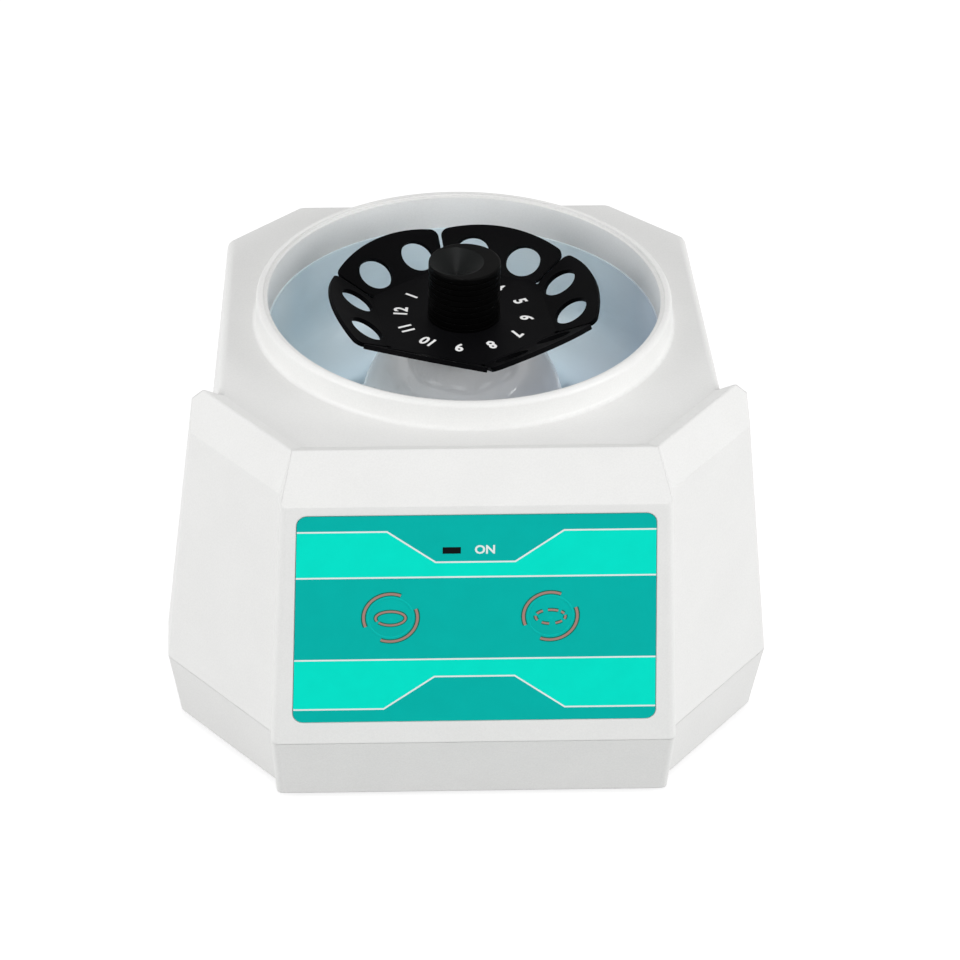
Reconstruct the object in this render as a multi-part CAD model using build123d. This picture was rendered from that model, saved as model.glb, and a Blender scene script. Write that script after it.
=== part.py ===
from build123d import *
from math import asin, cos, hypot, radians, sin, sqrt, tan
import os

# A small centrifuge with a vortex head, as it stands on a bench.
# Plan sizes are measured from the rotor axis, heights from the bench.
# The finished pieces are moved back so that the origin is the middle of the footprint.

# Housing outline at the seam between upper housing and tray
front_y = -105.0        # front face of the nose block
rear_y = 81.0           # rear wall
nose_half = 63.0        # half width of the nose block
cheek_near_y = -98.0    # where a cheek meets the side of the nose
cheek_far = (95.0, -56.0)
return_y = -45.0        # rear end of the cheeks, at the top plate
side_front = 87.0       # half width of the body behind the cheeks
side_rear = 82.8        # half width of the body at the rear corners
rear_flat = 54.0        # half width of the rear wall
rear_corner_y = 54.6

# Housing heights
foot_h = 2.0
seam_z = 23.5
plate_z = 114.0
crest_h = 2.5
bevel_drop = 10.5
rim_h = 9.0

# Slopes, as sideways run for each millimetre of height
wall_lean = 0.095
nose_lean = 0.037
skirt_lean = -0.186
nose_skirt_lean = -0.075
cheek_bevel = 0.79
nose_bevel = 1.56
nose_bevel_side = 0.37
block_bevel = 0.9
body_setback = 15.6     # body's own front, behind the faces of the cheeks
rear_round = 4.0
front_round = 2.4
plate_round = 2.5
crest_round = 0.8
collar_foot_round = 1.4
ridge_run = 5.4         # inner slope of the crest, sideways

# Walls and fits
wall = 2.8
plate_t = 3.0
floor_t = 2.8
lip_t = 1.4
lip_h = 2.2
slip = 0.2              # gap of a part that drops into its place
running = 0.05          # radial gap of a shaft in a bush
travel_gap = 0.3        # gap of a key or rocker in its opening

# Collar and chamber
collar_r = 66.0
collar_bore_r = 62.35
rebate_w = 1.3
rebate_h = 0.8
bowl_r = 61.8
bowl_t = 1.2
bowl_flange_r = 69.4
bowl_depth = 39.0       # from the bowl's rim to its floor
bowl_corner = 20.0
bowl_screw_n = 6
bowl_screw_pitch_r = 66.6

# Dome over the motor
dome_r = 32.8
dome_sink = 29.3        # centre of the dome's sphere below its top opening plane
dome_top_z = 109.0
dome_t = 2.0
dome_foot_r = 37.5
dome_foot_t = 1.6

# Rotor
sheet_t = 1.3
rotor_z = 115.3         # upper side of the rotor's flat floor
fold_apothem = 26.3
petal_tilt = 28.0
rim_apothem = 39.4
petal_corner_r = 6.5
petal_n = 6
slit_w = 0.9
slit_end_r = 0.8
slit_start = 28.2       # distance of a slit's inner end from the axis
rotor_phase = 21.5      # first petal, clockwise from the rear
tube_hole_r = 5.6
tube_hole_apothem = 32.8
tube_hole_side = 8.8

# Shaft, hub and vortex head
shaft_r = 3.0
hub_r = 13.0
hub_flange_t = 2.0
hub_boss_r = 8.0
hub_boss_h = 1.8
head_r = 11.45
head_h = 19.7
head_shaft_depth = 12.0
groove_pitch = 2.05
groove_depth = 0.7
groove_n = 9
cup_r = 8.7
cup_depth = 5.0
cup_offset = -2.6
seal_lip = 0.3

# Motor
motor_r = 21.0
motor_len = 53.5
motor_top_z = 93.5
can_t = 1.6
motor_boss_r = 8.0
motor_boss_h = 5.0
end_cap_h = 4.0
magnet_t = 3.6
magnet_gap = 0.8
stack_h = 30.0
stack_z = 52.0
slot_n = 5
commutator_r = 5.5
commutator_h = 5.0
bush_r = 6.0
bush_h = 3.5
bracket_t = 2.5
bracket_r = 24.5
bracket_leg_w = 12.0
bracket_leg_n = 4
bracket_foot_r = 36.0
isolator_r = 6.5
isolator_h = 7.0
motor_post_r = 5.5
motor_post_ring = 31.0
motor_screw_r = 15.0

# Front panel, in the plane of the nose's face
panel_top_z = 103.2
panel_h = 72.4
panel_w_top = 110.0
panel_w_bottom = 113.0
panel_corner = 3.4
film_t = 0.5
key_r = 6.8
key_mid = -1.6          # middle of the two keys, from the middle of the panel
key_x = 24.6            # each key from that middle
key_drop = 35.5         # keys below the panel's top edge
key_travel = 0.5
key_crown = 0.5
key_flange_r = 9.0
key_flange_t = 1.2
key_stem = 3.0
window_w = 5.6
window_h = 2.3
window_x = 7.6
window_drop = 12.3
switch_h = 3.4
switch_size = 6.0
board_t = 1.6
key_board_w = 104.0
key_board_h = 44.0
key_board_drop = 28.0   # middle of the board below the panel's top edge

# Rear wall fittings
rocker_x = -22.0
rocker_z = 66.0
rocker_body_w = 19.0
rocker_body_h = 12.8
rocker_bezel_w = 21.0
rocker_bezel_h = 15.0
rocker_bezel_t = 1.6
rocker_w = 16.0
rocker_len = 9.6
rocker_tilt = 10.0
rocker_swing = 0.4
rocker_depth = 14.0
inlet_x = 22.0
inlet_r = 4.0
inlet_flange_r = 5.6
inlet_flange_t = 1.4
inlet_len = 12.0
inlet_bore_r = 2.75
inlet_bore_depth = 9.0
inlet_pin_r = 1.05
nut_r = 6.4
nut_t = 2.5

# Tray
foot_r = 7.0
foot_recess = 1.2
feet = ((62.0, -70.0), (62.0, 52.0))
boss_r = 4.6
boss_places = ((58.0, -58.0), (61.0, 47.0))
screw_r = 1.5
screw_head_r = 2.9
screw_head_h = 2.0
board_size = (88.0, 34.0)
board_place = (0.0, -70.0)
board_height = 8.0
vent_n = 7
vent_pitch = 6.0
vent_w = 2.4
vent_len = 26.0

# Derived places
axis_y = -(front_y + rear_y) / 2
bevel_z = plate_z + crest_h - bevel_drop
crest_z = plate_z + crest_h
rim_z = plate_z + rim_h
plate_under_z = plate_z - plate_t
bowl_floor_z = plate_under_z - bowl_depth
dome_centre_z = dome_top_z - dome_sink
rotor_under_z = rotor_z - sheet_t
head_top_z = rotor_z + head_h
bracket_top_z = motor_top_z + bracket_t
motor_low_z = motor_top_z - motor_len
isolator_top_z = motor_low_z + 1.0
rise = 200.0            # more than any height, for tools that cut right through


def at_axis(part):
    """Move a piece from the rotor axis frame to the footprint frame."""
    return Pos(0, axis_y, 0) * part


def write(name, part):
    part = at_axis(part)
    part.label = name
    export_step(part, f"parts/{name}.step")


def tube(outer, inner, height, z=0.0):
    ring = Circle(outer) - Circle(inner)
    return Pos(0, 0, z) * extrude(ring, height)


def rod(radius, height, z=0.0, x=0.0, y=0.0):
    return Pos(x, y, z) * extrude(Circle(radius), height)


def around(n, part, start=0.0):
    """Copies of a piece round the rotor axis."""
    return [Rot(0, 0, start + i * 360 / n) * part for i in range(n)]


def mirrored(points):
    """Both sides of the instrument for a list of plan points."""
    return [(s * x, y) for x, y in points for s in (1, -1)]


def turned(points):
    """A solid of revolution about the rotor axis from (radius, height) points."""
    outline = make_face(Polyline(*[(r, 0, z) for r, z in points], close=True))
    return revolve(outline, Axis.Z)


# Housing walls

def wall_plane(p, q, z, lean, inset):
    """The plane of a wall through plan points p and q at height z.

    The plane leans towards the axis by lean for each millimetre upwards,
    and is moved inwards by inset, measured square to the wall.
    """
    dx, dy = q[0] - p[0], q[1] - p[1]
    length = hypot(dx, dy)
    nx, ny = dy / length, -dx / length
    if nx * p[0] + ny * p[1] < 0:
        nx, ny = -nx, -ny
    scale = sqrt(1 + lean * lean)
    normal = Vector(nx / scale, ny / scale, lean / scale)
    origin = Vector(p[0], p[1], z) - normal * inset
    return Plane(origin=origin, z_dir=normal)


def bounded(z0, z1, planes):
    """The space between two heights on the inner side of all the planes."""
    block = Pos(0, 0, z0) * Box(500, 500, z1 - z0, align=(Align.CENTER, Align.CENTER, Align.MIN))
    for plane in planes:
        block = split(block, bisect_by=plane, keep=Keep.BOTTOM)
    return block


def at_height(value, lean, z):
    """A distance from the axis at the seam, carried up a leaning wall."""
    return value - lean * (z - seam_z)


def body_planes(lean, inset):
    corners = [(side_front, return_y), (side_rear, rear_corner_y), (rear_flat, rear_y)]
    sides = list(zip(corners[:-1], corners[1:]))
    walls = []
    for p, q in sides:
        walls.append((p, q))
        walls.append(((-p[0], p[1]), (-q[0], q[1])))
    walls.append(((-rear_flat, rear_y), (rear_flat, rear_y)))
    planes = [wall_plane(p, q, seam_z, lean, inset) for p, q in walls]
    y = cheek_near_y + body_setback
    planes.append(wall_plane((-1, y), (1, y), seam_z, 0, inset))
    for s in (1, -1):
        planes.append(wall_plane(*cheek_line(s, seam_z), seam_z, 0, body_setback + inset))
    return planes


def cheek_planes(lean, inset, top=True):
    planes = []
    for s in (1, -1):
        far = (s * cheek_far[0], cheek_far[1])
        near = (s * nose_half, cheek_near_y)
        planes.append(wall_plane(far, near, seam_z, lean, inset))
        planes.append(wall_plane((far[0], 0), (far[0], 1), seam_z, lean, inset))
        if top:
            planes.append(cheek_bevel_plane(s, inset))
    front = (-nose_half, cheek_near_y), (nose_half, cheek_near_y)
    planes.append(wall_plane(*front, seam_z, lean, inset))
    if top:
        y = -at_height(-cheek_near_y, wall_lean, bevel_z)
        planes.append(wall_plane((-1, y), (1, y), bevel_z, block_bevel, inset))
    back = return_y + (plate_z - seam_z) * wall_lean
    planes.append(Plane(origin=(0, back - inset, seam_z), z_dir=(0, 1, lean)))
    return planes


def cheek_line(s, z):
    """Two plan points of a cheek's face at a height."""
    far = (s * cheek_far[0], cheek_far[1])
    near = (s * nose_half, cheek_near_y)
    dx, dy = near[0] - far[0], near[1] - far[1]
    length = hypot(dx, dy)
    nx, ny = dy / length, -dx / length
    if nx * far[0] + ny * far[1] < 0:
        nx, ny = -nx, -ny
    back = wall_lean * (z - seam_z)
    return (far[0] - nx * back, far[1] - ny * back), (near[0] - nx * back, near[1] - ny * back)


def cheek_bevel_plane(s, inset):
    p, q = cheek_line(s, bevel_z)
    return wall_plane(p, q, bevel_z, cheek_bevel, inset)


def nose_planes(lean, side_lean, inset, top=True):
    side = at_height(nose_half, nose_lean, bevel_z)
    planes = []
    for s in (1, -1):
        x = s * nose_half
        planes.append(wall_plane((x, 0), (x, 1), seam_z, side_lean, inset))
        if top:
            planes.append(wall_plane((s * side, 0), (s * side, 1), bevel_z, nose_bevel_side, inset))
    planes.append(wall_plane((-1, front_y), (1, front_y), seam_z, lean, inset))
    if top:
        y = -at_height(-front_y, wall_lean, bevel_z)
        planes.append(wall_plane((-1, y), (1, y), bevel_z, nose_bevel, inset))
    planes.append(Plane(origin=(0, return_y - 12 - inset, 0), z_dir=(0, 1, 0)))
    return planes


def upper_form(inset, z0, top):
    """Body, cheeks and nose as one form, moved inwards by inset."""
    body = bounded(z0, min(top, plate_z), body_planes(wall_lean, inset))
    cheeks = bounded(z0, top, cheek_planes(wall_lean, inset))
    nose = bounded(z0, top, nose_planes(wall_lean, nose_lean, inset))
    return body + cheeks + nose


def tray_form(inset, z0, z1):
    body = bounded(z0, z1, body_planes(skirt_lean, inset))
    cheeks = bounded(z0, z1, cheek_planes(skirt_lean, inset, top=False))
    nose = bounded(z0, z1, nose_planes(skirt_lean, nose_skirt_lean, inset, top=False))
    return body + cheeks + nose


def plate_recess():
    """The space over the recessed top plate, inside the crest."""
    planes = []
    crest_run = cheek_bevel * bevel_drop
    for s in (1, -1):
        p, q = cheek_line(s, bevel_z)
        crest = wall_plane(p, q, bevel_z, 0, crest_run + ridge_run)
        lean = -ridge_run / crest_h
        o = crest.origin
        n = crest.z_dir
        scale = hypot(1, lean)
        normal = Vector(n.X / scale, n.Y / scale, lean / scale)
        planes.append(Plane(origin=(o.X, o.Y, plate_z), z_dir=normal))
    y = front_y + wall_lean * (bevel_z - seam_z) + nose_bevel * bevel_drop + ridge_run
    planes.append(Plane(origin=(0, y, plate_z), z_dir=(0, -1, -ridge_run / crest_h)))
    return bounded(plate_z, crest_z + 5, planes)


def rear_plane(x, z):
    y = at_height(rear_y, wall_lean, z)
    return Plane(origin=(x, y, z), x_dir=(-1, 0, 0), z_dir=(0, 1, wall_lean))


def panel_plane():
    """The plane of the nose's front face, with its origin in the middle of the panel's top edge."""
    y = -at_height(-front_y, wall_lean, panel_top_z)
    return Plane(origin=(0, y, panel_top_z), x_dir=(1, 0, 0), z_dir=(0, -1, wall_lean))


def on_panel(part):
    return panel_plane().location * part


def on_rear(part, x, z):
    return rear_plane(x, z).location * part


# Pieces of the housing

def film_outline(gap=0.0):
    top, bottom = panel_w_top / 2 + gap, panel_w_bottom / 2 + gap
    corners = [(-top, gap), (top, gap), (bottom, -panel_h - gap), (-bottom, -panel_h - gap)]
    face = make_face(Polyline(*corners, close=True))
    return fillet(face.vertices(), panel_corner + gap)


def key_places():
    return [(key_mid + s * key_x, -key_drop) for s in (-1, 1)]


def key_holes(gap):
    return Sketch() + [Pos(x, y) * Circle(key_r + gap) for x, y in key_places()]


def window_outline(gap=0.0):
    return Pos(-window_x, -window_drop) * Rectangle(window_w + 2 * gap, window_h + 2 * gap)


def housing_bosses():
    height = plate_z - seam_z - plate_t / 2
    bosses = [rod(boss_r, height, seam_z, x, y) for x, y in mirrored(boss_places)]
    return Part() + bosses


def board_posts():
    """Posts behind the nose's face that carry the key board."""
    depth = key_board_depth() - wall + 0.2
    posts = [
        Pos(x, y, -wall + 0.2 - depth) * extrude(Circle(3.0) - Circle(1.0), depth)
        for x, y in key_board_screw_places()
    ]
    return on_panel(Part() + posts)


def key_board_depth():
    """Distance from the nose's face to the front side of the key board."""
    return wall + key_flange_t + key_travel + key_stem + switch_h


def key_board_screw_places():
    x = key_board_w / 2 - 4
    y = key_board_h / 2 - 4
    return [(sx * x, -key_board_drop + sy * y) for sx in (-1, 1) for sy in (-1, 1)]


def upper_housing():
    shell = upper_form(0, seam_z, crest_z) - plate_recess()
    shell = round_top(round_upright(shell))
    shell -= upper_form(wall, seam_z - 1, plate_under_z)
    shell += housing_bosses()
    shell += tube(collar_r, collar_r - 2 * wall, plate_t, plate_under_z)
    shell += collar() + collar_foot()
    shell -= rod(collar_bore_r, rise, plate_under_z)
    shell += board_posts()
    shell -= housing_screw_holes(seam_z - 1, 14)
    shell -= bowl_screw_holes()
    shell -= on_panel(Pos(0, 0, -film_t) * extrude(film_outline(), 5))
    holes = key_holes(travel_gap) + window_outline(slip)
    shell -= on_panel(Pos(0, 0, -2 * wall) * extrude(holes, 3 * wall))
    shell -= on_rear(rear_cutouts(), 0, rocker_z)
    return shell


def upright(edge):
    return abs((edge @ 0).Z - (edge @ 1).Z) > (seam_z - foot_h) / 2


def rear_corner(edge):
    return upright(edge) and min((edge @ 0).Y, (edge @ 1).Y) > rear_corner_y - 10


def front_corner(edge):
    return upright(edge) and max((edge @ 0).Y, (edge @ 1).Y) < return_y - 5


def lies_at(edge, z):
    return max(abs((edge @ 0).Z - z), abs((edge @ 1).Z - z)) < 0.01


def plate_edge(edge):
    return lies_at(edge, plate_z) and max((edge @ 0).Y, (edge @ 1).Y) > return_y + 5


def crest_edge(edge):
    return lies_at(edge, crest_z) and edge.length > 5


def round_upright(form):
    form = fillet(form.edges().filter_by(rear_corner), rear_round)
    return fillet(form.edges().filter_by(front_corner), front_round)


def round_top(form):
    """Rounds the outer edge of the top plate and the crest in front of it."""
    form = fillet(form.edges().filter_by(plate_edge), plate_round)
    return fillet(form.edges().filter_by(crest_edge), crest_round)


def collar_foot():
    """The small cove where the collar stands on the plate."""
    r = collar_foot_round
    ring = tube(collar_r + r, collar_r - 0.5, r, plate_z)
    cove = Pos(0, 0, plate_z + r) * Torus(collar_r + r, r)
    return ring - cove


def collar():
    ring = tube(collar_r, collar_bore_r, rim_h + 0.5, plate_z - 0.5)
    top = ring.edges().group_by(Axis.Z)[-1]
    ring = fillet(top.sort_by(SortBy.RADIUS)[-1], 1.5)
    step = tube(collar_bore_r + rebate_w, collar_bore_r - 1, rebate_h + 1, rim_z - rebate_h)
    return ring - step


def bowl_screw_holes():
    hole = rod(0.9, plate_t + 0.4, plate_under_z - 1, bowl_screw_pitch_r)
    return Part() + around(bowl_screw_n, hole, 30)


def housing_screw_holes(z, height):
    return Part() + [rod(1.2, height, z, x, y) for x, y in mirrored(boss_places)]


def rear_cutouts():
    switch = Pos(-rocker_x, 0, -wall * 2) * Box(rocker_body_w + 2 * slip, rocker_body_h + 2 * slip, 4 * wall)
    inlet = Pos(-inlet_x, 0, -wall * 2) * extrude(Circle(inlet_r + slip), 4 * wall)
    return switch + inlet


def lower_housing():
    shell = round_upright(tray_form(0, foot_h, seam_z))
    shell -= tray_form(wall, foot_h + floor_t, seam_z + 1)
    tongue = tongue_form(wall + slip) - tongue_form(wall + slip + lip_t)
    shell += tongue
    for x, y in mirrored(boss_places):
        shell += rod(boss_r, seam_z - slip - foot_h, foot_h, x, y)
    for x, y in motor_posts():
        shell += rod(motor_post_r, isolator_top_z - isolator_h - foot_h, foot_h, x, y)
    for x, y in board_pegs():
        shell += rod(3.2, board_height - floor_t, foot_h + floor_t, x, y)
    return shell - tray_holes()


def tongue_form(inset):
    low, high = seam_z - 3, seam_z + lip_h
    lean_form = upper_form(inset, low, high)
    return lean_form


def motor_posts():
    c = motor_post_ring * cos(radians(45))
    return mirrored([(c, c), (c, -c)])


def board_pegs():
    x, y = board_size[0] / 2 - 4, board_size[1] / 2 - 4
    cx, cy = board_place
    return [(cx + sx * x, cy + sy * y) for sx in (-1, 1) for sy in (-1, 1)]


def tray_holes():
    cuts = Part()
    for x, y in mirrored(boss_places):
        cuts += rod(screw_r + slip, rise, 0, x, y) + rod(screw_head_r + slip, 12, 0, x, y)
    for x, y in motor_posts():
        cuts += rod(1.3, rise, foot_h + 8, x, y)
    for x, y in board_pegs():
        cuts += rod(1.0, rise, foot_h + 2, x, y)
    for x, y in mirrored(feet):
        cuts += rod(foot_r + slip, foot_recess, foot_h, x, y)
    slot = Box(vent_w, vent_len, 10)
    for i in range(vent_n):
        cuts += Pos((i - (vent_n - 1) / 2) * vent_pitch, 58, foot_h) * slot
    return cuts


def rubber_feet():
    foot = rod(foot_r, foot_h + foot_recess)
    foot = fillet(foot.edges().group_by(Axis.Z)[0], 0.6)
    return Part() + [Pos(x, y, 0) * foot for x, y in mirrored(feet)]


# Chamber

def xz(point):
    """A (radius, height) point in the plane of the sections."""
    return (point[0], 0, point[1])


def line(p, q):
    return Line(xz(p), xz(q))


def arc(p, via, q):
    return ThreePointArc(xz(p), xz(via), xz(q))


def revolved(edges):
    return revolve(make_face(Curve() + edges), Axis.Z)


def chamber_bowl():
    top, low, t, c = plate_under_z, bowl_floor_z, bowl_t, bowl_corner
    inner = dome_r + slip
    mid = c * (1 - cos(radians(45)))
    out = t * cos(radians(45))
    floor_r = bowl_r - c
    bowl = revolved([
        line((bowl_r, top), (bowl_r, low + c)),
        arc((bowl_r, low + c), (bowl_r - mid, low + mid), (floor_r, low)),
        line((floor_r, low), (inner, low)),
        line((inner, low), (inner, low - t)),
        line((inner, low - t), (floor_r, low - t)),
        arc((floor_r, low - t), (bowl_r - mid + out, low + mid - out), (bowl_r + t, low + c)),
        line((bowl_r + t, low + c), (bowl_r + t, top - t)),
        line((bowl_r + t, top - t), (bowl_flange_r, top - t)),
        line((bowl_flange_r, top - t), (bowl_flange_r, top)),
        line((bowl_flange_r, top), (bowl_r, top)),
    ])
    holes = around(bowl_screw_n, rod(1.2, 10, top - 5, bowl_screw_pitch_r), 30)
    return bowl - (Part() + holes)


def bowl_screws():
    top = plate_under_z - bowl_t
    screw = rod(0.85, plate_t + 0.4, top, bowl_screw_pitch_r) + rod(2.0, 1.4, top - 1.4, bowl_screw_pitch_r)
    return Part() + around(bowl_screw_n, screw, 30)


def dome_body(radius, low):
    """A solid dome: a straight foot, part of a sphere and a flat top."""
    top = dome_top_z - (dome_r - radius)
    flat_r = sqrt(radius ** 2 - (top - dome_centre_z) ** 2)
    half = (asin(flat_r / radius) + radians(90)) / 2
    via = (radius * sin(half), dome_centre_z + radius * cos(half))
    return revolved([
        line((0, top), (flat_r, top)),
        arc((flat_r, top), via, (radius, dome_centre_z)),
        line((radius, dome_centre_z), (radius, low)),
        line((radius, low), (0, low)),
        line((0, low), (0, top)),
    ])


def hub_dome():
    low = bowl_floor_z - bowl_t
    outer = dome_body(dome_r, low)
    inner = dome_body(dome_r - dome_t, low - 1)
    foot = tube(dome_foot_r, dome_r - dome_t, dome_foot_t, low - dome_foot_t)
    dome = outer - inner + foot
    return dome - rod(seal_outer(), rise, dome_centre_z) - rod(dome_r - dome_t, 4, low - 3)


def seal_outer():
    return hub_boss_r + 0.5


def shaft_seal():
    ring = tube(seal_outer(), shaft_r + seal_lip, dome_t, dome_top_z - dome_t)
    flange = tube(seal_outer() + 1.5, shaft_r + seal_lip, 1.0, dome_top_z - dome_t - 1.0)
    return ring + flange


# Rotor

def petal_outline():
    """Plan of the whole rotor: a hexagon with rounded corners and a slit at each."""
    corner = rim_apothem / cos(radians(180 / petal_n))
    plate = RegularPolygon(corner, petal_n, major_radius=True)
    plate = fillet(plate.vertices(), petal_corner_r)
    slit = Pos(slit_start + corner / 2) * Rectangle(corner, slit_w)
    slit += Pos(slit_start) * Circle(slit_end_r)
    for i in range(petal_n):
        plate -= Rot(0, 0, i * 360 / petal_n) * slit
    return plate


def petal_strip():
    """One side of the dish: flat to the fold, then bent upwards, pointing along +X."""
    slope = radians(petal_tilt)
    reach = rim_apothem + 4 - fold_apothem
    top = [(0, 0), (fold_apothem, 0), (fold_apothem + reach, reach * tan(slope))]
    under = [(x + sheet_t * sin(slope) * (i == 2), z - sheet_t / (cos(slope) if i == 2 else 1))
             for i, (x, z) in enumerate(top)]
    under[1] = (fold_apothem + sheet_t * tan(slope / 2), -sheet_t)
    under[2] = (top[2][0], top[2][1] - sheet_t / cos(slope))
    outline = [(x, 0, z) for x, z in top + under[::-1]]
    section = make_face(Polyline(*outline, close=True))
    half = 180 / petal_n
    width = 2 * (fold_apothem + reach) * tan(radians(half)) + 4
    strip = extrude(section, width / 2, dir=(0, 1, 0)) + extrude(section, width / 2, dir=(0, -1, 0))
    far = 2 * rim_apothem
    wedge = make_face(Polyline((0, 0), (far, far * tan(radians(half))), (far, -far * tan(radians(half))),
                               close=True))
    return strip & (Pos(0, 0, -20) * extrude(wedge, 60))


def petal_holes():
    slope = radians(petal_tilt)
    z = (tube_hole_apothem - fold_apothem) * tan(slope)
    tool = Rot(0, -petal_tilt, 0) * (Pos(0, 0, -10) * extrude(Circle(tube_hole_r), 20))
    return [Pos(tube_hole_apothem, s * tube_hole_side, z) * tool for s in (-1, 1)]


def petal_angle():
    """Angle from +X of the first petal."""
    return 90 - rotor_phase


def tube_rotor():
    strip = petal_strip()
    for hole in petal_holes():
        strip -= hole
    dish = Part() + around(petal_n, strip)
    outline = Rot(0, 0, 180 / petal_n) * petal_outline()
    dish = dish & (Pos(0, 0, -20) * extrude(outline, 60))
    dish -= rod(shaft_r + running, 20, -10)
    return Pos(0, 0, rotor_z) * (Rot(0, 0, petal_angle()) * dish)


def rotor_hub():
    flange = rod(hub_r, hub_flange_t, rotor_under_z - hub_flange_t)
    boss = rod(hub_boss_r - 1, hub_boss_h, rotor_under_z - hub_flange_t - hub_boss_h)
    return flange + boss - rod(shaft_r + running, 20, rotor_under_z - 15)


def vortex_head():
    head = rod(head_r, head_h, rotor_z)
    head = fillet(head.edges().group_by(Axis.Z)[-1], 0.6)
    for i in range(groove_n):
        z = rotor_z + 1.2 + i * groove_pitch
        head -= groove_ring(z)
    cup = Pos(cup_offset, 0, head_top_z - cup_depth) * cone_cup()
    return head - cup - rod(shaft_r + running, head_shaft_depth, rotor_z)


def groove_ring(z):
    half = groove_pitch * 0.3
    points = [(head_r - groove_depth, z), (head_r + 1, z - half), (head_r + 1, z + half)]
    return turned(points)


def cone_cup():
    return Cone(0.4, cup_r * 1.2, cup_depth * 1.2, align=(Align.CENTER, Align.CENTER, Align.MIN))


def motor_shaft():
    low = motor_low_z - end_cap_h + 1.9
    shaft = rod(shaft_r, rotor_z + head_shaft_depth - 0.5 - low, low)
    return chamfer(shaft.edges().group_by(Axis.Z)[-1], 0.5)


# Motor

def motor_can():
    can = rod(motor_r, motor_len, motor_low_z)
    can = fillet(can.edges().group_by(Axis.Z)[-1], 1.5)
    can += rod(motor_boss_r, motor_boss_h, motor_top_z - 0.5)
    can -= rod(motor_r - can_t, motor_len - can_t + 1, motor_low_z - 1)
    can -= rod(bush_r, motor_boss_h + can_t + 2, motor_top_z - can_t - 1)
    hole = rod(1.5, 10, motor_top_z - 5, motor_screw_r)
    return can - (Part() + around(2, hole))


def upper_bush():
    return tube(bush_r, shaft_r + running, bush_h, motor_top_z + motor_boss_h - bush_h - 1)


def lower_bush():
    return tube(bush_r, shaft_r + running, bush_h - 0.5, motor_low_z - end_cap_h + 1.5)


def motor_end_cap():
    low = motor_low_z - end_cap_h
    cap = rod(motor_r, end_cap_h, low) + rod(motor_r - can_t - slip, 2.0, motor_low_z)
    cap = chamfer(cap.edges().group_by(Axis.Z)[0], 0.8)
    cap -= rod(bush_r, 30, low + 1.5)
    tabs = [Pos(0, s * 14, low - 5) * Box(0.8, 4, 6, align=(Align.CENTER, Align.CENTER, Align.MIN))
            for s in (-1, 1)]
    return cap + tabs


def field_magnets():
    inner = motor_r - can_t - magnet_t
    ring = tube(motor_r - can_t, inner, stack_h, stack_z)
    side = Pos(0, 0, stack_z) * Box(16, 60, 80)
    return ring - side


def armature():
    outer = motor_r - can_t - magnet_t - magnet_gap
    stack = rod(outer, stack_h - 2, stack_z + 1)
    slot = Pos(outer - 2, 0, stack_z) * Box(8, 2, 80)
    stack -= Part() + around(slot_n, slot)
    winding = rod(outer - 3.5, stack_h + 5, stack_z - 1.5)
    return stack + winding - rod(shaft_r, rise, 0)


def commutator():
    ring = tube(commutator_r, shaft_r, commutator_h, motor_low_z + 4)
    slit = Pos(commutator_r, 0, motor_low_z) * Box(3, 0.6, 40)
    return ring - (Part() + around(slot_n, slit))


def brush_holder():
    """Two carbon brushes with their arms, seated on the motor's end cap."""
    z = motor_low_z + 2.0
    pieces = []
    for s in (-1, 1):
        brush = Pos(s * (commutator_r + 2.8), 0, z + 4.0) * Box(5.0, 3.6, 4.0)
        arm = Pos(s * (commutator_r + 4.3), 0, z) * Box(2.0, 6.0, 6.0, align=(Align.CENTER, Align.CENTER, Align.MIN))
        pieces.append(brush + arm)
    return Part() + pieces


def bracket_legs():
    leg_low = isolator_top_z
    legs = Part()
    for i in range(bracket_leg_n):
        leg = Pos(bracket_r - bracket_t / 2, 0, leg_low) * Box(
            bracket_t, bracket_leg_w, motor_top_z - leg_low + bracket_t,
            align=(Align.CENTER, Align.CENTER, Align.MIN))
        legs += Rot(0, 0, 45 + i * 90) * leg
    return legs


def motor_bracket():
    disc = rod(bracket_r, bracket_t, motor_top_z)
    base = tube(bracket_foot_r, bracket_r - bracket_t, bracket_t, isolator_top_z)
    frame = disc + bracket_legs() + base
    frame -= rod(motor_boss_r + slip, 10, motor_top_z - 2)
    frame -= Part() + around(2, rod(1.6, 10, motor_top_z - 2, motor_screw_r))
    for x, y in motor_posts():
        frame -= rod(1.8, 10, isolator_top_z - 2, x, y)
    return frame


def motor_screws():
    screw = rod(1.4, bracket_t + can_t + 1, motor_top_z - can_t - 1, motor_screw_r)
    screw += rod(2.6, 1.8, bracket_top_z, motor_screw_r)
    return Part() + around(2, screw)


def isolators():
    z = isolator_top_z - isolator_h
    mounts = []
    for x, y in motor_posts():
        body = rod(isolator_r, isolator_h, z, x, y)
        waist = Pos(x, y, z + isolator_h / 2) * (
            extrude(Circle(isolator_r + 1) - Circle(isolator_r - 1.2), 1.2, both=True))
        mounts.append(body - waist - rod(1.8, 20, z - 5, x, y))
    return Part() + mounts


def bracket_screws():
    top = isolator_top_z + bracket_t
    low = isolator_top_z - isolator_h
    return Part() + [
        rod(1.2, top - low + 6, low - 6, x, y) + rod(2.8, 1.8, top, x, y) for x, y in motor_posts()]


# Front panel

def panel_overlay():
    film = extrude(film_outline(-slip) - key_holes(travel_gap) - window_outline(), film_t)
    return on_panel(Pos(0, 0, -film_t) * film)


def led_window():
    window = Pos(0, 0, -wall) * extrude(window_outline(-0.05), wall - 0.05)
    return on_panel(window)


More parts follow.
